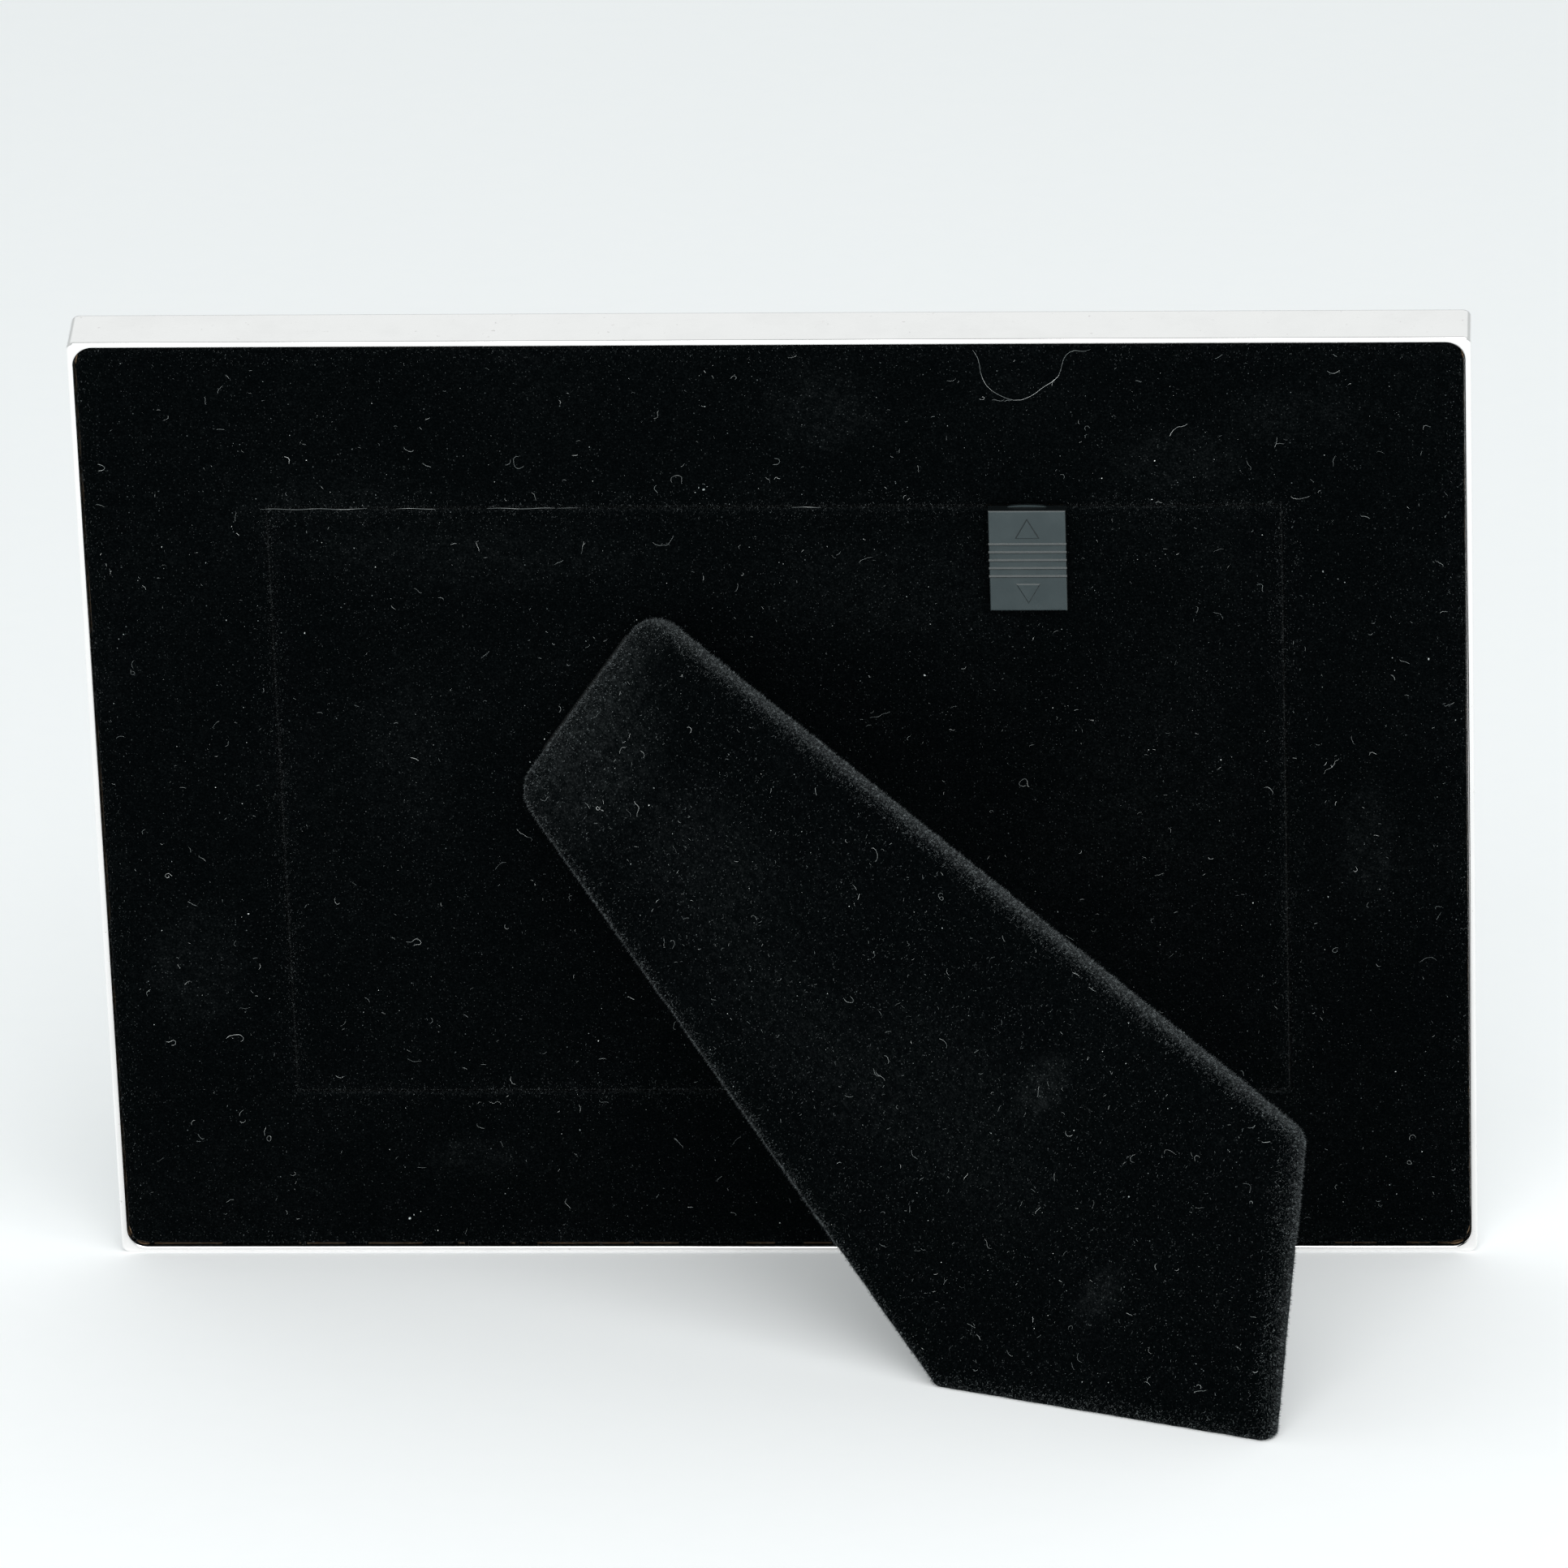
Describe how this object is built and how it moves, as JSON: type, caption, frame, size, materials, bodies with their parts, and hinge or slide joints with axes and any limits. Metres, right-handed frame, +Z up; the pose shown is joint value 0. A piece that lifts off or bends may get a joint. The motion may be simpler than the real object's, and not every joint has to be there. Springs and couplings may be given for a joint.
{
  "type": "photo frame",
  "caption": "Table photo frame seen as a plated metal tray with glass, a velvet back with a latched door, and a hinged velvet easel strut.",
  "frame": {"origin": "middle of the footprint on the surface that the frame stands on", "axes": "+X to the left as seen from behind the frame, along its long side; +Y backwards, from the picture towards the strut; +Z up"},
  "size_m": [0.215, 0.0995, 0.161],
  "materials": {
    "plated_metal": "silver-plated steel, mirror polished, faint fine scratches",
    "clear_glass": "clear float glass, 2 mm",
    "photo_paper": "glossy print of a plain landscape",
    "grey_card": "smooth grey board",
    "brown_card": "corrugated card",
    "fibreboard": "brown fibreboard, bare",
    "black_velvet": "black flocked velvet, short upright pile with lint",
    "black_paper": "matt black lining paper",
    "grey_plastic": "moulded dark grey plastic, satin",
    "zinc_steel": "zinc-plated steel",
    "black_steel": "black-lacquered steel"
  },
  "bodies": {
    "frame": {"metal_frame": "plated_metal", "glass_pane": "clear_glass", "photo_insert": "photo_paper", "backing_card": "grey_card", "spacer_card": "brown_card", "filler_frame": "fibreboard", "back_board": "fibreboard", "back_velvet": "black_velvet"},
    "door": {"door_board": "fibreboard", "door_velvet": "black_velvet", "door_lining": "black_paper", "door_springs": "zinc_steel", "hinge_base": "black_steel", "hinge_pin": "zinc_steel", "hinge_base_rivets": "zinc_steel"},
    "latch": {"latch_button": "grey_plastic", "latch_tongue": "grey_plastic", "latch_rivet": "zinc_steel"},
    "strut": {"strut_leaf": "black_steel", "strut_lining": "black_paper", "strut_board": "fibreboard", "strut_velvet": "black_velvet", "strut_rivets": "zinc_steel"}
  },
  "joints": [
    {"name": "door_lift", "type": "slide", "parent": "frame", "child": "door", "axis": [0, 0.9763, -0.2164], "range_m": [0, 0.04]},
    {"name": "latch_slide", "type": "slide", "parent": "door", "child": "latch", "axis": [0, 0.2164, 0.9763], "range_m": [0, 0.004]},
    {"name": "strut_hinge", "type": "hinge", "parent": "door", "child": "strut", "pos_m": [0.0275, -0.01786, 0.09719], "axis": [0.5635, -0.1788, -0.8065], "range_deg": [-32, 0]}
  ]
}
